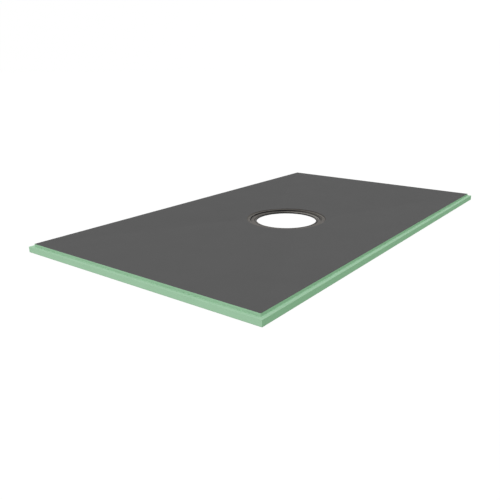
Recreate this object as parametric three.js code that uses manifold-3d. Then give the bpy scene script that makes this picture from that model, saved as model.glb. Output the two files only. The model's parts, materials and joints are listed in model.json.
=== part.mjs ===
// Foam shower pan: a rigid foam base with a rebate all round, a thin coating laid to fall towards a central
// drain, and a stepped ring that hangs in the drain opening. Millimetres, +Z up, origin at the middle of the
// underside, +X along the long side.

import * as THREE from "three";
import { mergeVertices } from "three/addons/utils/BufferGeometryUtils.js";
import Module from "manifold-3d";

// Pan
const panLength = 1524;
const panWidth = 914.4;
const rimHeight = 26.4;
const drainEdgeHeight = 13.5;

// Rebate round the outside
const ledgeWidth = 12.7;
const ledgeHeight = 18;

// Coating
const coatThickness = 0.8;

// Drain ring, from its opening outwards and from its flange downwards
const openingRadius = 111.9;
const lipWidth = 5.7;
const lipSetDown = 0.5;
const grooveWidth = 2.4;
const grooveDepth = 1;
const shelfWidth = 13.7;
const shelfThickness = 5.3;
const shelfDrop = 3.7;
const wallSlant = 2.2;
const wallThickness = 3;
const flangeWidth = 9.3;
const flangeThickness = 3;
const flangeSetDown = 2.5;
const ringSegments = 96;

// The recess round the flange widens by this much up to the coating's edge
const recessFlare = 1.9;

// Clearances
const bondGap = 0.3;
const ringGap = 0.3;

// Cutting tools reach this far past what they cut
const overrun = 20;
const mergeTolerance = 1e-4;

// Worked out from the sizes above
const innerHalfLength = panLength / 2 - ledgeWidth;
const innerHalfWidth = panWidth / 2 - ledgeWidth;
const foamCover = coatThickness + bondGap;
const flangeTop = drainEdgeHeight - flangeSetDown;
const flangeBottom = flangeTop - flangeThickness;
const shelfTop = flangeTop - shelfDrop;
const ringBottom = shelfTop - shelfThickness;
const grooveInnerRadius = openingRadius + lipWidth;
const shelfInnerRadius = grooveInnerRadius + grooveWidth;
const shelfOuterRadius = shelfInnerRadius + shelfWidth;
const flangeInnerRadius = shelfOuterRadius + wallSlant;
const bodyRadius = flangeInnerRadius + wallThickness;
const flangeRadius = flangeInnerRadius + flangeWidth;
const seatRadius = flangeRadius + ringGap;
const recessRadius = seatRadius + recessFlare;
const throughRadius = bodyRadius + ringGap;
const shoulderHeight = flangeBottom - ringGap;

const wasm = await Module();
wasm.setup();

// Closed triangle mesh to solid
function toSolid(geometry) {
  geometry.deleteAttribute("normal");
  geometry.deleteAttribute("uv");
  const merged = mergeVertices(geometry, mergeTolerance);
  const mesh = new wasm.Mesh({
    numProp: 3,
    vertProperties: merged.attributes.position.array,
    triVerts: merged.index.array,
  });
  return new wasm.Manifold(mesh);
}

// Solid to a geometry with flat shading
function toGeometry(solid) {
  const mesh = solid.getMesh();
  const geometry = new THREE.BufferGeometry();
  geometry.setAttribute("position", new THREE.BufferAttribute(mesh.vertProperties, 3));
  geometry.setIndex(new THREE.BufferAttribute(mesh.triVerts, 1));
  const faceted = geometry.toNonIndexed();
  faceted.computeVertexNormals();
  return faceted;
}

// Box centred on the drain, standing between two heights
function block(halfLength, halfWidth, low, high) {
  const geometry = new THREE.BoxGeometry(2 * halfLength, 2 * halfWidth, high - low);
  geometry.translate(0, 0, (low + high) / 2);
  return toSolid(geometry);
}

// Upright round tool on the drain's axis, with its own radius at each of two heights
function cone(lowRadius, highRadius, low, high) {
  const geometry = new THREE.CylinderGeometry(highRadius, lowRadius, high - low, ringSegments);
  geometry.rotateX(Math.PI / 2);
  geometry.translate(0, 0, (low + high) / 2);
  return toSolid(geometry);
}

// The same with an upright wall
function bore(radius, low, high) {
  return cone(radius, radius, low, high);
}

// Open space of the recess: straight round the flange, and flared from its top face up past the rim
function recess() {
  const flare = recessFlare / (drainEdgeHeight - flangeTop);
  const top = rimHeight + overrun;
  const flared = cone(seatRadius, seatRadius + flare * (top - flangeTop), flangeTop, top);
  return flared.add(bore(seatRadius, shoulderHeight, drainEdgeHeight));
}

// Side view of the open space over one pair of falls: a V whose sides pass through the rim and, at the drain's
// nearest edge, through its height there
function fallProfile(halfSpan, lowered) {
  const slope = (rimHeight - drainEdgeHeight) / (halfSpan - recessRadius);
  const reach = halfSpan + overrun;
  const middle = rimHeight - lowered - slope * halfSpan;
  const profile = new THREE.Shape();
  profile.moveTo(-reach, middle + slope * reach);
  profile.lineTo(0, middle);
  profile.lineTo(reach, middle + slope * reach);
  profile.lineTo(reach, rimHeight + overrun);
  profile.lineTo(-reach, rimHeight + overrun);
  profile.closePath();
  return profile;
}

// Trough with the given side view, long enough to pass right through the pan
function trough(profile, length, profileAxis, lengthAxis) {
  const depth = length + 2 * overrun;
  const geometry = new THREE.ExtrudeGeometry(profile, { depth, bevelEnabled: false });
  geometry.translate(0, 0, -depth / 2);
  const up = new THREE.Vector3(0, 0, 1);
  geometry.applyMatrix4(new THREE.Matrix4().makeBasis(profileAxis, up, lengthAxis));
  return toSolid(geometry);
}

// Open space above the four falls, which meet along creases that run from the corners towards the drain
function basin(lowered) {
  const alongX = new THREE.Vector3(1, 0, 0);
  const alongY = new THREE.Vector3(0, 1, 0);
  const sideFalls = trough(fallProfile(innerHalfWidth, lowered), panLength, alongY, alongX);
  const endProfile = fallProfile(innerHalfLength, lowered);
  const endFalls = trough(endProfile, panWidth, alongX, alongY.clone().negate());
  return sideFalls.intersect(endFalls);
}

// Foam slab with the raised middle, the falls cut into it and the stepped seat of the drain ring
function foamBase() {
  const slab = block(panLength / 2, panWidth / 2, 0, ledgeHeight);
  const raised = block(innerHalfLength, innerHalfWidth, 0, rimHeight + overrun / 2);
  const through = bore(throughRadius, -overrun, rimHeight);
  return slab.add(raised).subtract(basin(foamCover)).subtract(recess()).subtract(through);
}

// Coating of even thickness over the falls, cut off square at the rebate and along the flare round the drain
function topCoating() {
  const raised = block(innerHalfLength, innerHalfWidth, 0, rimHeight + overrun / 2);
  return raised.intersect(basin(coatThickness)).subtract(basin(0)).subtract(recess());
}

// Turned ring: flange on the foam's shoulder, slanting wall, shelf, groove and lip round the opening
function drainRing() {
  const section = [
    [openingRadius, ringBottom],
    [bodyRadius, ringBottom],
    [bodyRadius, flangeBottom],
    [flangeRadius, flangeBottom],
    [flangeRadius, flangeTop],
    [flangeInnerRadius, flangeTop],
    [shelfOuterRadius, shelfTop],
    [shelfInnerRadius, shelfTop],
    [shelfInnerRadius, shelfTop - grooveDepth],
    [grooveInnerRadius, shelfTop - grooveDepth],
    [grooveInnerRadius, shelfTop - lipSetDown],
    [openingRadius, shelfTop - lipSetDown],
    [openingRadius, ringBottom],
  ];
  const points = section.map(([radius, height]) => new THREE.Vector2(radius, height));
  const geometry = new THREE.LatheGeometry(points, ringSegments);
  geometry.rotateX(Math.PI / 2);
  return toSolid(geometry);
}

// Named mesh with its own plain material
function piece(name, solid, color, roughness) {
  const material = new THREE.MeshStandardMaterial({ color, roughness, metalness: 0 });
  const mesh = new THREE.Mesh(toGeometry(solid), material);
  mesh.name = name;
  return mesh;
}

const pan = new THREE.Group();
pan.add(piece("foam_base", foamBase(), 0x9ec4a5, 0.9));
pan.add(piece("top_coating", topCoating(), 0x5d5d5d, 0.95));
pan.add(piece("drain_ring", drainRing(), 0x6b6763, 0.6));

export default pan;
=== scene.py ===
"""Foam shower pan: a mint foam base with a rebate, a dark coating laid to falls, and a moulded drain ring.

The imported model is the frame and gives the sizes. This script builds the finished surfaces on it, then the
floor, the light and the camera. Lengths are in metres.
"""

from __future__ import annotations

import json
import logging
import math
from collections.abc import Callable, Mapping, Sequence
from dataclasses import dataclass, field
from enum import Enum
from typing import Any

import bmesh
import bpy
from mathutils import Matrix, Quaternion, Vector

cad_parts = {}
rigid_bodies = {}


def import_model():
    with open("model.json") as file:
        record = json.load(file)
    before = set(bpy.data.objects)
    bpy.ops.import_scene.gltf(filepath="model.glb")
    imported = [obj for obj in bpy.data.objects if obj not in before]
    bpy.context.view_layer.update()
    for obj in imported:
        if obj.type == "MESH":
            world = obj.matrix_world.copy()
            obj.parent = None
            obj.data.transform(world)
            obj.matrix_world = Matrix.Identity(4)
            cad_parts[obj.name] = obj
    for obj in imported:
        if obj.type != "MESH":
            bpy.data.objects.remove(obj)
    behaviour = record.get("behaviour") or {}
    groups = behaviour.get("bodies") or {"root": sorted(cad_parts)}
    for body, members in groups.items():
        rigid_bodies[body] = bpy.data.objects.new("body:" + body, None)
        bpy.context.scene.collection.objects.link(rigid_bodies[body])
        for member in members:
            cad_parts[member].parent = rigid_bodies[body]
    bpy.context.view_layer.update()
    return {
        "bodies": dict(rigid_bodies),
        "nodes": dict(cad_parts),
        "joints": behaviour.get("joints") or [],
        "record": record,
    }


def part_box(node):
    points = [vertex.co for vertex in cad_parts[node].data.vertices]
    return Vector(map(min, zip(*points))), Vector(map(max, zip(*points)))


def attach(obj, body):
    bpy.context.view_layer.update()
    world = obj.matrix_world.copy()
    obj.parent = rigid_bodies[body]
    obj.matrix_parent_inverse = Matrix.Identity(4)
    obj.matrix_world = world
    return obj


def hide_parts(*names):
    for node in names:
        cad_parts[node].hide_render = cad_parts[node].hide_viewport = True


LOG = logging.getLogger("shower_pan")
BODY = "root"
MILLIMETRE = 0.001

Colour = tuple[float, float, float, float]
Point = tuple[float, float]
Loop = list[Vector]


class Slot(Enum):
    """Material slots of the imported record."""

    FOAM = "green_foam"
    COATING = "grey_coating"
    RING = "ring_plastic"


def screen_colour(red: float, green: float, blue: float) -> Colour:
    """Turn a screen colour into the linear one that the shader takes.

    Args:
        red: Red from 0 to 255.
        green: Green from 0 to 255.
        blue: Blue from 0 to 255.

    Returns:
        The linear colour with full alpha.
    """

    def linear(level: float) -> float:
        """Undo the screen curve for one channel."""
        share = level / 255
        return share / 12.92 if share <= 0.04045 else ((share + 0.055) / 1.055) ** 2.4

    return (linear(red), linear(green), linear(blue), 1.0)


class Value:
    """A number that varies over a surface: a shader socket that Python arithmetic can use."""

    def __init__(self, graph: Graph, socket: bpy.types.NodeSocket) -> None:
        """Wrap one output socket of a graph."""
        self.graph = graph
        self.socket = socket

    def _math(self, operation: str, first: Value | float, second: Value | float) -> Value:
        """Add one Math node and wrap its result."""
        node = self.graph.node("ShaderNodeMath", {"operation": operation}, {0: first, 1: second})
        return Value(self.graph, node.outputs[0])

    def __add__(self, other: Value | float) -> Value:
        """Sum."""
        return self._math("ADD", self, other)

    __radd__ = __add__

    def __sub__(self, other: Value | float) -> Value:
        """Difference."""
        return self._math("SUBTRACT", self, other)

    def __rsub__(self, other: Value | float) -> Value:
        """Difference with this value on the right."""
        return self._math("SUBTRACT", other, self)

    def __mul__(self, other: Value | float) -> Value:
        """Product."""
        return self._math("MULTIPLY", self, other)

    __rmul__ = __mul__

    def power(self, exponent: float) -> Value:
        """Value raised to a power."""
        return self._math("POWER", self, exponent)

    def swing(self, share: float) -> Value:
        """Share of how far a value between 0 and 1 is from the middle."""
        return (self - 0.5) * share

    def sine(self) -> Value:
        """Sine of the value in radians."""
        return self._math("SINE", self, 0.0)

    def magnitude(self) -> Value:
        """Value without its sign."""
        return self._math("ABSOLUTE", self, 0.0)

    def larger(self, other: Value | float) -> Value:
        """The larger of two values."""
        return self._math("MAXIMUM", self, other)

    def rise(self, start: float, end: float) -> Value:
        """Soft step from 0 to 1.

        Args:
            start: Value where the step starts.
            end: Value where the step ends.

        Returns:
            The step.
        """
        settings = {"interpolation_type": "SMOOTHSTEP", "clamp": True}
        node = self.graph.node("ShaderNodeMapRange", settings, {0: self, 1: start, 2: end})
        return Value(self.graph, node.outputs[0])


Input = Value | bpy.types.NodeSocket | float | Sequence[float]


class Graph:
    """The nodes of one material or of the world."""

    def __init__(self, tree: bpy.types.NodeTree) -> None:
        """Start with an empty tree."""
        self.tree = tree
        self.tree.nodes.clear()

    def node(
        self,
        kind: str,
        settings: Mapping[str, object] | None = None,
        sockets: Mapping[int | str, Input] | None = None,
    ) -> bpy.types.Node:
        """Add a node.

        Args:
            kind: Blender's name of the node type.
            settings: Properties of the node, set before its sockets.
            sockets: Input index, name or identifier to a number, a vector, or the socket that feeds it.

        Returns:
            The node.
        """
        made = self.tree.nodes.new(kind)
        for name, value in (settings or {}).items():
            setattr(made, name, value)
        for key, value in (sockets or {}).items():
            target = self._input(made, key)
            if isinstance(value, Value):
                self.tree.links.new(value.socket, target)
            elif isinstance(value, bpy.types.NodeSocket):
                self.tree.links.new(value, target)
            else:
                target.default_value = value
        return made

    @staticmethod
    def _input(made: bpy.types.Node, key: int | str) -> bpy.types.NodeSocket:
        """Find an input by index, by identifier, or else by name.

        Args:
            made: The node.
            key: The input's index, identifier or name.

        Returns:
            The input.
        """
        if isinstance(key, int):
            return made.inputs[key]
        named = [socket for socket in made.inputs if socket.identifier == key]
        return named[0] if named else made.inputs[key]

    def place(self) -> bpy.types.NodeSocket:
        """Position on the piece, in metres."""
        return self.node("ShaderNodeTexCoord").outputs["Object"]

    def stretched(self, place: bpy.types.NodeSocket, lengths: Sequence[float]) -> bpy.types.NodeSocket:
        """Position counted in the given length along each axis.

        Args:
            place: Position in metres.
            lengths: Metres for one unit along X, Y and Z.

        Returns:
            The scaled position.
        """
        scale = tuple(1 / length for length in lengths)
        node = self.node("ShaderNodeVectorMath", {"operation": "MULTIPLY"}, {0: place, 1: scale})
        return node.outputs[0]

    def noise(self, place: bpy.types.NodeSocket, size: float, detail: float = 2.0) -> Value:
        """Cloudy noise from about 0 to 1.

        Args:
            place: Position that the noise reads.
            size: Length of one cloud in that position's unit.
            detail: How many finer layers there are.

        Returns:
            The noise.
        """
        sockets = {"Vector": place, "Scale": 1 / size, "Detail": detail}
        return Value(self, self.node("ShaderNodeTexNoise", None, sockets).outputs["Fac"])

    def cells(self, place: bpy.types.NodeSocket, size: float) -> Value:
        """Distance from the nearest cell wall, in cells.

        Args:
            place: Position that the pattern reads.
            size: Width of one cell in that position's unit.

        Returns:
            The distance, zero on a wall.
        """
        sockets = {"Vector": place, "Scale": 1 / size}
        node = self.node("ShaderNodeTexVoronoi", {"feature": "DISTANCE_TO_EDGE"}, sockets)
        return Value(self, node.outputs["Distance"])

    def axes(self, place: bpy.types.NodeSocket) -> tuple[Value, Value, Value]:
        """The three coordinates of a position."""
        parts = self.node("ShaderNodeSeparateXYZ", None, {0: place}).outputs
        return Value(self, parts[0]), Value(self, parts[1]), Value(self, parts[2])

    def facing(self, place: bpy.types.NodeSocket, degrees: float) -> Value:
        """How far a place lies in a direction from the drain's axis, seen from above.

        Args:
            place: Position on the piece.
            degrees: The direction, counted from +X.

        Returns:
            The cosine of the angle between them, 1 straight along the direction.
        """
        along, across, _ = self.axes(place)
        turn = math.radians(degrees)
        return (along * math.cos(turn) + across * math.sin(turn)) * self.outward(place).power(-1.0)

    def outward(self, place: bpy.types.NodeSocket) -> Value:
        """Distance from the drain's axis."""
        along, across, _ = self.axes(place)
        return (along * along + across * across).power(0.5)

    def between(self, share: Value, low: Input, high: Input) -> bpy.types.NodeSocket:
        """Colour between two colours.

        Args:
            share: Share of the second colour, held between 0 and 1.
            low: Colour at 0, or the socket that gives it.
            high: Colour at 1, or the socket that gives it.

        Returns:
            The mixed colour.
        """
        settings = {"data_type": "RGBA", "clamp_factor": True}
        sockets = {"Factor_Float": share, "A_Color": low, "B_Color": high}
        mix = self.node("ShaderNodeMix", settings, sockets)
        return next(socket for socket in mix.outputs if socket.identifier == "Result_Color")

    def relief(self, height: Value, depth: float) -> bpy.types.NodeSocket:
        """Normal of a surface with fine relief.

        Args:
            height: Height of the relief, from about 0 to 1.
            depth: Metres that a height of 1 stands for.

        Returns:
            The normal.
        """
        sockets = {"Height": height, "Distance": depth, "Strength": 1.0}
        return self.node("ShaderNodeBump", None, sockets).outputs["Normal"]


def surface_material(name: str, dress: Callable[[Graph], Mapping[int | str, Input]]) -> bpy.types.Material:
    """Make a material with one Principled shader.

    Args:
        name: Name of the material.
        dress: Adds the nodes and returns what feeds the shader's sockets.

    Returns:
        The material.
    """
    material = bpy.data.materials.new(name)
    material.use_nodes = True
    graph = Graph(material.node_tree)
    shader = graph.node("ShaderNodeBsdfPrincipled", None, dress(graph))
    graph.node("ShaderNodeOutputMaterial", None, {"Surface": shader.outputs["BSDF"]})
    return material


@dataclass(frozen=True)
class FoamFinish:
    """Closed-cell foam, sawn and milled: fine cells, saw lines, painted light along the foot of the riser,
    painted contact shadow on the lower arris.
    """

    inner_half_length: float
    inner_half_width: float
    ledge_width: float
    ledge: float
    deep: Colour = screen_colour(159, 199, 166)
    pale: Colour = screen_colour(167, 205, 174)
    # Painted light: paler foam on the ledge along the foot of the riser, weaker at the ends than at the
    # sides
    painted_light: Colour = screen_colour(181, 225, 190)
    painted_light_reach: float = 12 * MILLIMETRE
    painted_light_at_ends: float = 0.28
    # Painted contact shadow: a darker band along the lower arris of the outer faces
    contact_shadow: Colour = screen_colour(126, 164, 133)
    contact_shadow_height: float = 1.0 * MILLIMETRE
    hair: float = 0.2 * MILLIMETRE
    cell: float = 0.9 * MILLIMETRE
    cell_relief: float = 1.3
    grain: float = 1.8 * MILLIMETRE
    grain_tone: float = 0.7
    grain_relief: float = 0.4
    saw_line: float = 0.8 * MILLIMETRE
    saw_length: float = 180 * MILLIMETRE
    saw_tone: float = 0.5
    saw_relief: float = 0.35
    patch: float = 70 * MILLIMETRE
    patch_tone: float = 0.9
    depth: float = 0.12 * MILLIMETRE
    roughness: float = 0.82
    roughness_swing: float = 0.16
    specular: float = 0.25

    def painted_light_and_contact_shadow(self, graph: Graph, place: bpy.types.NodeSocket) -> tuple[Value, Value]:
        """Shares of the painted light on the ledge along the foot of the riser, where the corner lies in
        shade, and of the painted contact shadow on the lower arris.

        Args:
            graph: The material's nodes.
            place: Position on the foam.

        Returns:
            The share of painted light and the share of painted contact shadow.
        """
        along, across, up = graph.axes(place)
        past_end = along.magnitude() - self.inner_half_length
        past_side = across.magnitude() - self.inner_half_width
        beyond_end = past_end.rise(-self.hair, 0.0)
        beyond_side = past_side.rise(-self.hair, 0.0)
        # Painted light on the ledge next to the riser, where the corner lies in shade
        at_end = beyond_end * (1 - beyond_side) * (1 - past_end.rise(0.0, self.painted_light_reach))
        at_side = beyond_side * (1 - beyond_end) * (1 - past_side.rise(0.0, self.painted_light_reach))
        above = up.rise(self.ledge - 2 * self.hair, self.ledge - self.hair)
        below = 1 - up.rise(self.ledge + self.hair, self.ledge + 2 * self.hair)
        painted_light = at_side.larger(at_end * self.painted_light_at_ends) * above * below
        # Painted contact shadow along the lower arris of the outer faces
        outward = past_end.larger(past_side)
        outer = outward.rise(self.ledge_width - 4 * self.hair, self.ledge_width - 2 * self.hair)
        low = 1 - up.rise(self.contact_shadow_height * 0.6, self.contact_shadow_height * 1.4)
        return painted_light, outer * low

    def dress(self, graph: Graph) -> Mapping[int | str, Input]:
        """Add the foam's nodes.

        Args:
            graph: The material's nodes.

        Returns:
            What feeds the shader's sockets.
        """
        place = graph.place()
        lines = graph.stretched(place, (self.saw_length, self.saw_length, self.saw_line))
        saw = graph.noise(lines, 1.0)
        patches = graph.noise(place, self.patch)
        cells = graph.cells(place, self.cell)
        grain = graph.noise(place, self.grain, 4.0)
        tone = 0.5 + patches.swing(self.patch_tone) + saw.swing(self.saw_tone) + grain.swing(self.grain_tone)
        height = cells * self.cell_relief + saw * self.saw_relief + grain * self.grain_relief
        painted_light, contact_shadow = self.painted_light_and_contact_shadow(graph, place)
        # Foam colour with the painted light along the foot of the riser
        with_painted_light = graph.between(painted_light, graph.between(tone, self.deep, self.pale), self.painted_light)
        return {
            # Painted contact shadow on the lower arris
            "Base Color": graph.between(contact_shadow, with_painted_light, self.contact_shadow),
            "Roughness": self.roughness + grain.swing(self.roughness_swing),
            "Specular IOR Level": self.specular,
            "Normal": graph.relief(height, self.depth),
        }

    def material(self) -> bpy.types.Material:
        """The finished material."""
        return surface_material("mint_foam", self.dress)


@dataclass(frozen=True)
class CoatingFinish:
    """Thin cement coat over a glass mesh: sandy grain, a faint print of the mesh and slow trowel waves, with
    painted shade on the collar turned down into the recess and painted light on one side of it.
    """

    deep: Colour = screen_colour(86, 86, 86)
    pale: Colour = screen_colour(92, 92, 92)
    # Painted shade on the collar in the drain recess, with painted light on its side towards 150 degrees
    collar_painted_shading: Colour = screen_colour(72, 69, 65)
    collar_painted_light: Colour = screen_colour(106, 102, 97)
    collar_painted_light_at: float = 150.0
    collar_radius: float = 147.3 * MILLIMETRE
    collar_painted_light_reach: Point = (0.1, 0.8)
    mesh_pitch: float = 4.6 * MILLIMETRE
    mesh_middle: float = 0.3
    mesh_tone: float = 0.12
    mesh_relief: float = 0.35
    sand: float = 0.7 * MILLIMETRE
    sand_tone: float = 1.1
    sand_relief: float = 0.8
    patch: float = 120 * MILLIMETRE
    patch_tone: float = 0.5
    wave: float = 260 * MILLIMETRE
    wave_relief: float = 1.5
    depth: float = 0.10 * MILLIMETRE
    roughness: float = 0.92
    roughness_swing: float = 0.12
    specular: float = 0.04

    def threads(self, along: Value) -> Value:
        """Rounded threads, one for each pitch of the mesh."""
        swing = (along * (math.pi / self.mesh_pitch)).sine().magnitude()
        return (1 - swing).power(2.0)

    def dress(self, graph: Graph) -> Mapping[int | str, Input]:
        """Add the coating's nodes.

        Args:
            graph: The material's nodes.

        Returns:
            What feeds the shader's sockets.
        """
        place = graph.place()
        along, across, _ = graph.axes(place)
        mesh = self.threads(along).larger(self.threads(across))
        sand = graph.noise(place, self.sand, 3.0)
        patches = graph.noise(place, self.patch, 3.0)
        wave = graph.noise(place, self.wave, 1.0)
        print_tone = (mesh - self.mesh_middle) * self.mesh_tone
        tone = 0.5 + patches.swing(self.patch_tone) + sand.swing(self.sand_tone) + print_tone
        height = mesh * self.mesh_relief + sand * self.sand_relief + wave * self.wave_relief
        top = graph.outward(place).rise(self.collar_radius - 0.2 * MILLIMETRE, self.collar_radius)
        # Painted light on one side of the collar, over its painted shade
        painted_light_share = graph.facing(place, self.collar_painted_light_at).rise(*self.collar_painted_light_reach)
        collar_painted_shading = graph.between(painted_light_share, self.collar_painted_shading, self.collar_painted_light)
        return {
            "Base Color": graph.between(top, collar_painted_shading, graph.between(tone, self.deep, self.pale)),
            "Roughness": self.roughness + sand.swing(self.roughness_swing),
            "Specular IOR Level": self.specular,
            "Normal": graph.relief(height, self.depth),
        }

    def material(self) -> bpy.types.Material:
        """The finished material."""
        return surface_material("cement_coating", self.dress)


@dataclass(frozen=True)
class RingFinish:
    """Moulded plastic in a warm dark grey: satin flange, shelf and lip, with painted shade on the walls
    between them, a painted shadow and a painted pool of light on the shelf, and painted shade in the bore
    and along the lip.
    """

    bottom: float
    shelf: float
    opening: float
    deep: Colour = screen_colour(77, 73, 69)
    pale: Colour = screen_colour(89, 85, 80)
    # Painted shade on the slanting wall, lighter towards 325 degrees as painted light
    wall_painted_shading: Colour = screen_colour(14, 13, 12)
    wall_painted_light: Colour = screen_colour(80, 77, 72)
    wall_painted_light_at: float = 325.0
    wall_painted_light_reach: Point = (0.45, 0.9)
    wall_inner: float = 132.2 * MILLIMETRE
    wall_outer: float = 136.2 * MILLIMETRE
    # Painted shade on the wall of the bore and the floor of the groove
    bore_painted_shade: Colour = screen_colour(8, 7, 7)
    bore_drop: float = 1.0 * MILLIMETRE
    # Painted shade in a line along the edge of the opening, wider towards 258 degrees
    lip_painted_shade: Colour = screen_colour(22, 20, 18)
    lip_painted_shade_width: float = 1.5 * MILLIMETRE
    lip_shade_wide_at: float = 258.0
    lip_shade_wide_reach: Point = (0.45, 0.9)
    lip_shade_extra_width: float = 4.0 * MILLIMETRE
    # Painted shadow of the wall on the outer shelf, towards 0 degrees
    shelf_painted_shadow: Colour = screen_colour(9, 9, 8)
    shelf_painted_shadow_at: float = 0.0
    shelf_painted_shadow_reach: Point = (0.3, 0.8)
    # Painted light on the inner part of the shelf, towards 352 degrees
    shelf_painted_light: Colour = screen_colour(140, 136, 130)
    shelf_painted_light_at: float = 352.0
    shelf_painted_light_reach: Point = (0.5, 0.95)
    shelf_middle: float = 123.8 * MILLIMETRE
    tab: Colour = screen_colour(84, 81, 76)
    tab_start: float = 119.4 * MILLIMETRE
    shelf_tab: Point = (27.0, 3.4)
    wall_tab: Point = (103.0, 2.2)
    tab_core: float = 0.6
    edge: float = 0.25 * MILLIMETRE
    grain: float = 0.35 * MILLIMETRE
    grain_tone: float = 0.4
    patch: float = 40 * MILLIMETRE
    patch_tone: float = 0.8
    depth: float = 0.02 * MILLIMETRE
    roughness: float = 0.55
    roughness_swing: float = 0.1
    specular: float = 0.15

    def shelf_tone(self, graph: Graph, place: bpy.types.NodeSocket) -> bpy.types.NodeSocket:
        """Colour of the level faces: plain, with a painted shadow of the wall on the outer shelf, a painted
        pool of light on the inner shelf, and painted shade along the lip.

        Args:
            graph: The material's nodes.
            place: Position on the ring.

        Returns:
            The colour.
        """
        out = graph.outward(place)
        grain = graph.noise(place, self.grain, 3.0)
        patches = graph.noise(place, self.patch)
        tone = 0.5 + patches.swing(self.patch_tone) + grain.swing(self.grain_tone)
        plain = graph.between(tone, self.deep, self.pale)
        beyond_middle = out.rise(self.shelf_middle - 2 * self.edge, self.shelf_middle + 2 * self.edge)
        on_shelf = 1 - out.rise(self.wall_inner, self.wall_outer)
        # Painted shadow of the wall on the outer part of the shelf
        shelf_shadow_share = beyond_middle * on_shelf * graph.facing(place, self.shelf_painted_shadow_at).rise(*self.shelf_painted_shadow_reach)
        # Painted pool of light on the inner part of the shelf
        painted_light_share = (1 - beyond_middle) * graph.facing(place, self.shelf_painted_light_at).rise(*self.shelf_painted_light_reach)
        shelf = graph.between(painted_light_share, graph.between(shelf_shadow_share, plain, self.shelf_painted_shadow), self.shelf_painted_light)
        # Painted shade along the lip edge, wider towards one side
        darker = graph.facing(place, self.lip_shade_wide_at).rise(*self.lip_shade_wide_reach)
        from_edge = out - self.opening - darker * self.lip_shade_extra_width
        lip = from_edge.rise(self.lip_painted_shade_width, self.lip_painted_shade_width + 2 * self.edge)
        return graph.between(lip, self.lip_painted_shade, shelf)

    def past_shelf_and_wall(self, graph: Graph, place: bpy.types.NodeSocket) -> tuple[Value, Value]:
        """Steps from 0 to 1 at the two edges of the slanting wall.

        Args:
            graph: The material's nodes.
            place: Position on the ring.

        Returns:
            The step from shelf to wall, and the step from wall to flange.
        """
        out = graph.outward(place)
        past_shelf = out.rise(self.wall_inner - self.edge, self.wall_inner + self.edge)
        past_wall = out.rise(self.wall_outer - self.edge, self.wall_outer + self.edge)
        return past_shelf, past_wall

    def painted_wall_shading(self, graph: Graph, place: bpy.types.NodeSocket) -> tuple[bpy.types.NodeSocket, Value]:
        """Painted shade and painted light of the slanting wall, and its share.

        Args:
            graph: The material's nodes.
            place: Position on the ring.

        Returns:
            The painted colour, dark as painted shade and lighter towards one side as painted light, and the
            share of it between the shelf and the flange.
        """
        past_shelf, past_wall = self.past_shelf_and_wall(graph, place)
        # Painted light on the wall towards one side, over its painted shade
        wall_lit_share = graph.facing(place, self.wall_painted_light_at).rise(*self.wall_painted_light_reach)
        return graph.between(wall_lit_share, self.wall_painted_shading, self.wall_painted_light), past_shelf * (1 - past_wall)

    def tab_share(self, graph: Graph, place: bpy.types.NodeSocket, tab: Point) -> Value:
        """Share of a narrow pale tab across the ring.

        Args:
            graph: The material's nodes.
            place: Position on the ring.
            tab: Its direction and half its width, both in degrees.

        Returns:
            The share.
        """
        degrees, half_width = tab
        inner = math.cos(math.radians(half_width * self.tab_core))
        outer = math.cos(math.radians(half_width))
        return graph.facing(place, degrees).rise(outer, inner)

    def tabs(self, graph: Graph, place: bpy.types.NodeSocket) -> Value:
        """Share of both tabs, one on the shelf and one across the wall.

        Args:
            graph: The material's nodes.
            place: Position on the ring.

        Returns:
            The share.
        """
        past_shelf, past_wall = self.past_shelf_and_wall(graph, place)
        out = graph.outward(place)
        past_groove = out.rise(self.tab_start - 2 * self.edge, self.tab_start + 2 * self.edge)
        on_shelf = self.tab_share(graph, place, self.shelf_tab) * past_groove * (1 - past_shelf)
        on_wall = self.tab_share(graph, place, self.wall_tab) * past_shelf * (1 - past_wall)
        return on_shelf.larger(on_wall)

    def dress(self, graph: Graph) -> Mapping[int | str, Input]:
        """Add the plastic's nodes.

        Args:
            graph: The material's nodes.

        Returns:
            What feeds the shader's sockets.
        """
        place = graph.place()
        _, _, up = graph.axes(place)
        # Painted shade and painted light on the slanting wall, over the shelf colour
        wall_painted_shading, wall_share = self.painted_wall_shading(graph, place)
        walled = graph.between(wall_share, self.shelf_tone(graph, place), wall_painted_shading)
        tabbed = graph.between(self.tabs(graph, place), walled, self.tab)
        # Painted shade on the bore and the groove floor: everything a millimetre or more below the shelf and
        # above the bottom
        sunk = 1 - up.rise(self.shelf - self.bore_drop, self.shelf - self.bore_drop + self.edge)
        raised = up.rise(self.bottom + self.edge, self.bottom + 2 * self.edge)
        grain = graph.noise(place, self.grain, 3.0)
        return {
            "Base Color": graph.between(sunk * raised, tabbed, self.bore_painted_shade),
            "Roughness": self.roughness + grain.swing(self.roughness_swing),
            "Specular IOR Level": self.specular,
            "Normal": graph.relief(grain, self.depth),
        }

    def material(self) -> bpy.types.Material:
        """The finished material."""
        return surface_material("ring_plastic", self.dress)


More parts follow.
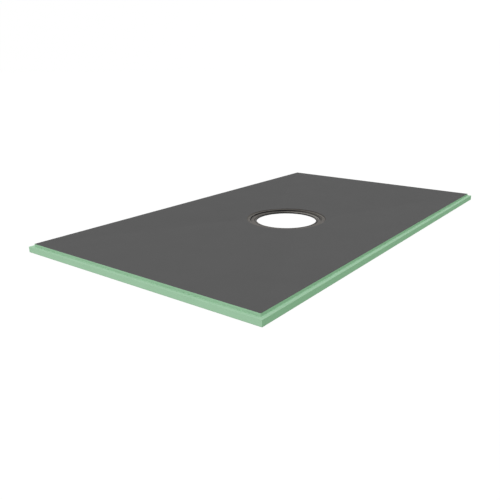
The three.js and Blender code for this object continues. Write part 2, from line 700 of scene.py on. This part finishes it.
@dataclass(frozen=True)
class FloorFinish:
    """Plain pale table and backdrop that glow a little and can be seen through from behind."""

    colour: Colour = (0.05, 0.05, 0.05, 1.0)
    glow: float = 0.97

    def material(self) -> bpy.types.Material:
        """Make the material.

        Returns:
            The finished material.
        """
        material = bpy.data.materials.new("pale_table")
        material.use_nodes = True
        graph = Graph(material.node_tree)
        sockets = {
            "Base Color": self.colour,
            "Roughness": 1.0,
            "Specular IOR Level": 0.0,
            "Emission Color": (1.0, 1.0, 1.0, 1.0),
            "Emission Strength": self.glow,
        }
        pale = graph.node("ShaderNodeBsdfPrincipled", None, sockets).outputs["BSDF"]
        clear = graph.node("ShaderNodeBsdfTransparent").outputs["BSDF"]
        behind = graph.node("ShaderNodeNewGeometry").outputs["Backfacing"]
        mixed = graph.node("ShaderNodeMixShader", None, {0: behind, 1: pale, 2: clear})
        graph.node("ShaderNodeOutputMaterial", None, {"Surface": mixed.outputs["Shader"]})
        return material


def rounded(corners: Sequence[Point], radii: Sequence[float], steps: int) -> list[Point]:
    """Round the corners of a closed outline.

    Args:
        corners: Corner points in order.
        radii: Radius at each corner, zero to keep it sharp.
        steps: Straight stretches in each arc.

    Returns:
        The outline's points in the same order.
    """
    outline: list[Point] = []
    for index, corner in enumerate(corners):
        here = Vector(corner)
        before = Vector(corners[index - 1]) - here
        after = Vector(corners[(index + 1) % len(corners)]) - here
        half_angle = before.angle(after) / 2
        radius = radii[index]
        if radius <= 0:
            outline.append(corner)
            continue
        back = radius / math.tan(half_angle)
        start = here + before.normalized() * back
        end = here + after.normalized() * back
        middle = (before.normalized() + after.normalized()).normalized()
        centre = here + middle * radius / math.sin(half_angle)
        arm = start - centre
        sweep = arm.angle_signed(end - centre)
        for step in range(steps + 1):
            # The signed angle counts clockwise, and the turn below the other way
            turn = -sweep * step / steps
            spun = Vector(
                (
                    arm.x * math.cos(turn) - arm.y * math.sin(turn),
                    arm.x * math.sin(turn) + arm.y * math.cos(turn),
                )
            )
            outline.append(tuple(centre + spun))
    return outline


def loft(name: str, loops: Sequence[Loop], sharp_degrees: float) -> bpy.types.Object:
    """Join closed loops of points into one closed skin, the last loop to the first.

    Args:
        name: Name of the object.
        loops: Loops with the same number of points, in order round the section.
        sharp_degrees: Edges that turn more than this stay sharp.

    Returns:
        The object, linked to the scene.
    """
    mesh = bmesh.new()
    rows = [[mesh.verts.new(point) for point in loop] for loop in loops]
    count = len(rows[0])
    for row, following in zip(rows, rows[1:] + rows[:1], strict=True):
        for index in range(count):
            other = (index + 1) % count
            mesh.faces.new((row[index], row[other], following[other], following[index]))
    bmesh.ops.recalc_face_normals(mesh, faces=mesh.faces)
    data = bpy.data.meshes.new(name)
    mesh.to_mesh(data)
    mesh.free()
    data.shade_smooth()
    data.set_sharp_from_angle(angle=math.radians(sharp_degrees))
    made = bpy.data.objects.new(name, data)
    bpy.context.scene.collection.objects.link(made)
    weighted = made.modifiers.new("even_shading", "WEIGHTED_NORMAL")
    weighted.keep_sharp = True
    return made


def install(piece: bpy.types.Object, node: str, material: bpy.types.Material) -> None:
    """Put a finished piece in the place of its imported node.

    Args:
        piece: The finished piece.
        node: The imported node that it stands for.
        material: The piece's material.
    """
    piece.data.materials.append(material)
    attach(piece, BODY)
    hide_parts(node)
    LOG.info("%s: %d faces, in place of %s", piece.name, len(piece.data.polygons), node)


@dataclass
class PanSizes:
    """Sizes of the pan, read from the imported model, with the few that it can't give."""

    half_length: float
    half_width: float
    inner_half_length: float
    inner_half_width: float
    rim: float
    foam_top: float
    ledge: float
    ring_bottom: float
    flange_top: float
    flange_radius: float
    shelf_top: float
    drain_edge: float = 13.5 * MILLIMETRE
    recess_flare: float = 1.9 * MILLIMETRE
    coat: float = 0.8 * MILLIMETRE
    coat_edge: float = 0.2 * MILLIMETRE
    coat_feather: float = 3 * MILLIMETRE
    fit: float = 0.3 * MILLIMETRE
    flange_thickness: float = 3 * MILLIMETRE
    body_radius: float = 138.9 * MILLIMETRE

    @classmethod
    def from_frame(cls, frame: Mapping[str, Any]) -> PanSizes:
        """Read the sizes.


        Returns:
            The sizes.
        """
        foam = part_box("foam_base")[1]
        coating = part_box("top_coating")[1]
        ring_low, ring_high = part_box("drain_ring")
        heights = {mount["name"]: mount["pos_m"][2] for mount in frame["record"]["mounts"]}
        return cls(
            half_length=foam.x,
            half_width=foam.y,
            inner_half_length=coating.x,
            inner_half_width=coating.y,
            rim=coating.z,
            foam_top=foam.z,
            ledge=heights["ledge_front"],
            ring_bottom=ring_low.z,
            flange_top=ring_high.z,
            flange_radius=ring_high.x,
            shelf_top=heights["drain_seat"],
        )

    @property
    def seat_radius(self) -> float:
        """Radius of the recess beside the ring's flange."""
        return self.flange_radius + self.fit

    @property
    def recess_radius(self) -> float:
        """Radius of the flared recess at the coating's edge."""
        return self.seat_radius + self.recess_flare

    @property
    def through_radius(self) -> float:
        """Radius of the hole through the foam."""
        return self.body_radius + self.fit

    @property
    def flange_bottom(self) -> float:
        """Underside of the ring's flange."""
        return self.flange_top - self.flange_thickness


@dataclass
class Falls:
    """The four falls of the top, and the loops of points that follow them from the rim to the drain."""

    sizes: PanSizes
    end_steps: int = 28
    side_steps: int = 40
    corner_steps: int = 4
    corner_degrees: float = 1.0
    crease: float = 0.15 * MILLIMETRE
    halvings: int = 50

    def height(self, x: float, y: float) -> float:
        """Height of the coated top, with the creases between the falls slightly softened.

        Args:
            x: Place along the pan.
            y: Place across the pan.

        Returns:
            The height above the underside.
        """
        size = self.sizes
        fall = size.rim - size.drain_edge
        half_length, half_width = size.inner_half_length, size.inner_half_width
        side = size.rim - (half_width - abs(y)) * fall / (half_width - size.recess_radius)
        end = size.rim - (half_length - abs(x)) * fall / (half_length - size.recess_radius)
        soft = max(self.crease - abs(side - end), 0.0)
        return min(max(side, end) + soft * soft / (4 * self.crease), size.rim)

    @property
    def crease_angle(self) -> float:
        """Angle, from +X, at which the crease from a corner meets the drain recess.

        Returns:
            The angle in radians, found by halving a quarter turn.
        """
        size = self.sizes
        side_slope = 1 / (size.inner_half_width - size.recess_radius)
        end_slope = 1 / (size.inner_half_length - size.recess_radius)
        low, high = 0.0, math.pi / 2
        for _ in range(self.halvings):
            middle = (low + high) / 2
            x = size.recess_radius * math.cos(middle)
            y = size.recess_radius * math.sin(middle)
            on_side = (size.inner_half_width - y) * side_slope < (size.inner_half_length - x) * end_slope
            low, high = (low, middle) if on_side else (middle, high)
        return (low + high) / 2

    def circle(self, radius: float) -> list[Point]:
        """Points of a circle, in step with the points of a rectangle.

        Args:
            radius: Radius of the circle.

        Returns:
            The points, starting next to the corner at +X and -Y.
        """
        crease = self.crease_angle
        corner = math.radians(self.corner_degrees)
        spans = (
            (-crease + corner, crease - corner, self.end_steps),
            (crease - corner, crease + corner, self.corner_steps),
            (crease + corner, math.pi - crease - corner, self.side_steps),
            (math.pi - crease - corner, math.pi - crease + corner, self.corner_steps),
        )
        points: list[Point] = []
        for half_turn in (0.0, math.pi):
            for start, end, steps in spans:
                for step in range(steps):
                    angle = half_turn + start + (end - start) * step / steps
                    points.append((radius * math.cos(angle), radius * math.sin(angle)))
        return points

    def rectangle(self, half_length: float, half_width: float, corner: float) -> list[Point]:
        """Points of a rectangle with round corners, in step with the points of a circle.

        Args:
            half_length: Half its size along X.
            half_width: Half its size along Y.
            corner: Radius of its corners.

        Returns:
            The points, starting next to the corner at +X and -Y.
        """
        long_x, long_y = half_length - corner, half_width - corner
        quarter = math.pi / 2
        points: list[Point] = []
        for sign in (1, -1):
            for step in range(self.end_steps):
                points.append((sign * half_length, sign * long_y * (2 * step / self.end_steps - 1)))
            for step in range(self.corner_steps):
                turn = quarter * step / self.corner_steps
                points.append(
                    (sign * (long_x + corner * math.cos(turn)), sign * (long_y + corner * math.sin(turn)))
                )
            for step in range(self.side_steps):
                points.append((sign * long_x * (1 - 2 * step / self.side_steps), sign * half_width))
            for step in range(self.corner_steps):
                turn = quarter * (1 + step / self.corner_steps)
                points.append(
                    (sign * (-long_x + corner * math.cos(turn)), sign * (long_y + corner * math.sin(turn)))
                )
        return points

    def level(self, outline: Sequence[Point], height: float) -> Loop:
        """A flat loop.

        Args:
            outline: Points seen from above.
            height: Height of the loop.

        Returns:
            The loop.
        """
        return [Vector((x, y, height)) for x, y in outline]

    def sloping(self, outline: Sequence[Point], lowered: float) -> Loop:
        """A loop that follows the falls.

        Args:
            outline: Points seen from above.
            lowered: How far it lies below the coated top.

        Returns:
            The loop.
        """
        return [Vector((x, y, self.height(x, y) - lowered)) for x, y in outline]

    def surface(
        self, rim: Sequence[Point], drain: Sequence[Point], steps: int, lowered: float
    ) -> list[Loop]:
        """Loops over the falls.

        Args:
            rim: Outline at the rim.
            drain: Outline at the drain.
            steps: Stretches from one to the other.
            lowered: How far the surface lies below the coated top.

        Returns:
            The loops, from the rim to the drain, both included.
        """
        loops = []
        for step in range(steps + 1):
            share = step / steps
            outline = [
                (x0 + (x1 - x0) * share, y0 + (y1 - y0) * share)
                for (x0, y0), (x1, y1) in zip(rim, drain, strict=True)
            ]
            loops.append(self.sloping(outline, lowered))
        return loops


@dataclass
class FoamBase:
    """The foam: slab, rebate, raised middle with its falls, and the stepped seat of the ring."""

    sizes: PanSizes
    falls: Falls
    arris: float = 0.4 * MILLIMETRE
    corner: float = 0.4 * MILLIMETRE
    bond: float = 0.05 * MILLIMETRE
    arc_steps: int = 3
    top_steps: int = 12

    def edge_section(self) -> list[Point]:
        """Section through the outer edge, as distance in from the outer face and height.

        Returns:
            The points from the underside to the foot of the riser, with the arrises slightly rounded.
        """
        size = self.sizes
        inset = size.half_width - size.inner_half_width
        deep = inset * 2
        corners = [
            (deep, 0.0),
            (0.0, 0.0),
            (0.0, size.ledge),
            (inset, size.ledge),
            (inset, size.rim),
            (deep, size.rim),
        ]
        radii = [0.0, self.arris, self.arris, self.arris / 2, 0.0, 0.0]
        outline = rounded(corners, radii, self.arc_steps)
        # The points inside the foam only guide the rounding
        return outline[1:-2]

    def build(self) -> bpy.types.Object:
        """Make the mesh.

        Returns:
            The foam base.
        """
        size, falls = self.sizes, self.falls
        cover = size.coat + size.fit
        loops: list[Loop] = []
        for inward, height in self.edge_section():
            outline = falls.rectangle(size.half_length - inward, size.half_width - inward, self.corner)
            loops.append(falls.level(outline, height))
        edge = falls.rectangle(size.inner_half_length, size.inner_half_width, self.corner)
        feather = size.coat_feather
        rim = falls.rectangle(size.inner_half_length - feather, size.inner_half_width - feather, self.corner)
        recess, through = falls.circle(size.recess_radius + cover), falls.circle(size.through_radius)
        seat = falls.circle(size.seat_radius + cover)
        shoulder = size.flange_bottom - size.fit
        loops.append(falls.sloping(edge, size.coat_edge + self.bond))
        loops += falls.surface(rim, recess, self.top_steps, cover)
        loops.append(falls.level(seat, size.flange_top))
        loops += [falls.level(seat, shoulder), falls.level(through, shoulder), falls.level(through, 0.0)]
        piece = loft("foam_base_finished", loops, 30.0)
        ledge_width = size.half_width - size.inner_half_width
        finish = FoamFinish(size.inner_half_length, size.inner_half_width, ledge_width, size.ledge)
        install(piece, "foam_base", finish.material())
        return piece


@dataclass
class TopCoating:
    """The coating: even over the falls, trimmed thin at the rebate, and turned down into the recess."""

    sizes: PanSizes
    falls: Falls
    finish: CoatingFinish = field(default_factory=CoatingFinish)
    corner: float = 0.4 * MILLIMETRE
    arris: float = 0.1 * MILLIMETRE
    top_steps: int = 24
    under_steps: int = 8

    def build(self) -> bpy.types.Object:
        """Make the mesh.

        Returns:
            The coating.
        """
        size, falls = self.sizes, self.falls
        half_length, half_width = size.inner_half_length, size.inner_half_width
        recess = size.recess_radius
        rim = falls.rectangle(half_length, half_width, self.corner)
        rim_top = falls.rectangle(half_length - self.arris, half_width - self.arris, self.corner)
        feather = size.coat_feather
        feathered = falls.rectangle(half_length - feather, half_width - feather, self.corner)
        drain_top = falls.circle(recess)
        drain = falls.circle(recess - self.arris)
        behind = falls.circle(recess + size.coat)
        seat, seat_behind = falls.circle(size.seat_radius), falls.circle(size.seat_radius + size.coat)
        loops = [falls.sloping(rim, size.coat_edge), falls.sloping(rim, self.arris)]
        loops += falls.surface(rim_top, drain_top, self.top_steps, 0.0)
        loops.append(falls.sloping(drain, self.arris))
        for height in (size.flange_top, size.flange_bottom):
            loops.append(falls.level(seat, height))
        for height in (size.flange_bottom, size.flange_top):
            loops.append(falls.level(seat_behind, height))
        loops += reversed(falls.surface(feathered, behind, self.under_steps, size.coat))
        piece = loft("top_coating_finished", loops, 30.0)
        install(piece, "top_coating", self.finish.material())
        return piece


@dataclass
class DrainRing:
    """The moulded ring: flange, slanting wall, shelf, groove and lip."""

    sizes: PanSizes
    opening_radius: float = 111.9 * MILLIMETRE
    lip_width: float = 5.7 * MILLIMETRE
    lip_set_down: float = 0.5 * MILLIMETRE
    groove_width: float = 2.4 * MILLIMETRE
    groove_depth: float = 1 * MILLIMETRE
    shelf_width: float = 13.7 * MILLIMETRE
    wall_slant: float = 2.2 * MILLIMETRE
    arris: float = 0.25 * MILLIMETRE
    arc_steps: int = 3
    segments: int = 240

    def section(self) -> list[Point]:
        """Section of the ring, as radius and height.

        Returns:
            The closed outline with its edges rounded.
        """
        size = self.sizes
        groove_in = self.opening_radius + self.lip_width
        groove_out = groove_in + self.groove_width
        shelf_out = groove_out + self.shelf_width
        flange_in = shelf_out + self.wall_slant
        groove_floor = size.shelf_top - self.groove_depth
        lip_top = size.shelf_top - self.lip_set_down
        corners = [
            (self.opening_radius, size.ring_bottom),
            (size.body_radius, size.ring_bottom),
            (size.body_radius, size.flange_bottom),
            (size.flange_radius, size.flange_bottom),
            (size.flange_radius, size.flange_top),
            (flange_in, size.flange_top),
            (shelf_out, size.shelf_top),
            (groove_out, size.shelf_top),
            (groove_out, groove_floor),
            (groove_in, groove_floor),
            (groove_in, lip_top),
            (self.opening_radius, lip_top),
        ]
        return rounded(corners, [self.arris] * len(corners), self.arc_steps)

    def build(self) -> bpy.types.Object:
        """Make the mesh.

        Returns:
            The drain ring.
        """
        loops: list[Loop] = []
        for radius, height in self.section():
            loop = []
            for index in range(self.segments):
                angle = math.tau * index / self.segments
                loop.append(Vector((radius * math.cos(angle), radius * math.sin(angle), height)))
            loops.append(loop)
        piece = loft("drain_ring_finished", loops, 40.0)
        finish = RingFinish(self.sizes.ring_bottom, self.sizes.shelf_top, self.opening_radius)
        install(piece, "drain_ring", finish.material())
        return piece


@dataclass
class Studio:
    """Pale table in even daylight: a bright tent above, and bounced light from below, weaker towards -Y."""

    finish: FloorFinish = field(default_factory=FloorFinish)
    table_radius: float = 60.0
    table_sides: int = 96
    table_drop: float = 0.2 * MILLIMETRE
    sky: float = 1.02
    sky_slant: float = 0.4
    bounce: Colour = (0.92, 0.92, 0.92, 1.0)
    shaded_bounce: Colour = (0.08, 0.39, 0.11, 1.0)
    horizon: float = 0.1

    def set_up(self, name: str, mesh: bmesh.types.BMesh) -> bpy.types.Object:
        """Put a part of the studio into the scene, seen only by the camera and by shadows.

        Args:
            name: Name of the object.
            mesh: Its mesh, which is used up.

        Returns:
            The object.
        """
        data = bpy.data.meshes.new(name)
        mesh.to_mesh(data)
        mesh.free()
        data.materials.append(self.finish.material())
        made = bpy.data.objects.new(name, data)
        bpy.context.scene.collection.objects.link(made)
        made.location.z = -self.table_drop
        made.visible_diffuse = False
        made.visible_glossy = False
        return made

    def table(self) -> None:
        """Make the table, a hair below the pan."""
        mesh = bmesh.new()
        bmesh.ops.create_circle(mesh, cap_ends=True, segments=self.table_sides, radius=self.table_radius)
        self.set_up("table", mesh)

    def backdrop(self) -> None:
        """Make the pale backdrop all round, which faces inwards and lets the daylight through."""
        mesh = bmesh.new()
        sides = self.table_sides
        bmesh.ops.create_uvsphere(mesh, u_segments=sides, v_segments=sides // 2, radius=self.table_radius)
        bmesh.ops.reverse_faces(mesh, faces=mesh.faces)
        self.set_up("backdrop", mesh).visible_shadow = False

    def daylight(self) -> None:
        """Light the scene from a pale tent above and from bounced light below."""
        world = bpy.data.worlds.new("daylight")
        world.use_nodes = True
        graph = Graph(world.node_tree)
        _, across, up = graph.axes(graph.node("ShaderNodeTexCoord").outputs["Generated"])
        tent = self.sky + across * self.sky_slant
        grey = graph.node("ShaderNodeCombineColor", None, {"Red": tent, "Green": tent, "Blue": tent})
        bounced = graph.between(1 + across, self.shaded_bounce, self.bounce)
        above = 0.5 + up * (0.5 / self.horizon)
        shade = graph.between(above, bounced, grey.outputs[0])
        light = graph.node("ShaderNodeBackground", None, {"Color": shade})
        graph.node("ShaderNodeOutputWorld", None, {"Surface": light.outputs["Background"]})
        bpy.context.scene.world = world

    def build(self) -> None:
        """Set up the table and the light."""
        self.table()
        self.backdrop()
        self.daylight()
        bpy.context.scene.view_settings.view_transform = "Standard"
        LOG.info("studio: table and daylight")


@dataclass
class Viewpoint:
    """The camera, where the photograph was taken from. The frame is square."""

    stand: tuple[float, float, float] = (-1.64731, -1.12776, 0.5529)
    azimuth: float = 35.3165
    elevation: float = 18.4479
    roll: float = -0.0564
    frame_pixels: float = 500.0
    focal_pixels: float = 549.439
    centre_offset_pixels: float = 27.858
    sensor: float = 36.0

    def build(self) -> None:
        """Make the camera and use it."""
        data = bpy.data.cameras.new("camera")
        data.sensor_width = self.sensor
        data.lens = self.focal_pixels / self.frame_pixels * self.sensor
        data.shift_x = -self.centre_offset_pixels / self.frame_pixels
        data.clip_end = 200.0
        camera = bpy.data.objects.new("camera", data)
        bpy.context.scene.collection.objects.link(camera)
        azimuth, elevation = math.radians(self.azimuth), math.radians(self.elevation)
        forward = Vector(
            (
                math.cos(elevation) * math.cos(azimuth),
                math.cos(elevation) * math.sin(azimuth),
                -math.sin(elevation),
            )
        )
        level = forward.to_track_quat("-Z", "Y")
        tilt = Quaternion((0.0, 0.0, 1.0), math.radians(self.roll))
        camera.rotation_mode = "QUATERNION"
        camera.rotation_quaternion = level @ tilt
        camera.location = self.stand
        bpy.context.scene.camera = camera
        LOG.info("camera: lens %.2f mm", data.lens)


def main() -> None:
    """Build the pan on its frame, then the studio round it."""
    logging.basicConfig(level=logging.INFO, format="%(name)s %(message)s")
    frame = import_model()
    Viewpoint().build()
    sizes = PanSizes.from_frame(frame)
    falls = Falls(sizes)
    FoamBase(sizes, falls).build()
    TopCoating(sizes, falls).build()
    DrainRing(sizes).build()
    Studio().build()


if __name__ == "__main__":
    main()
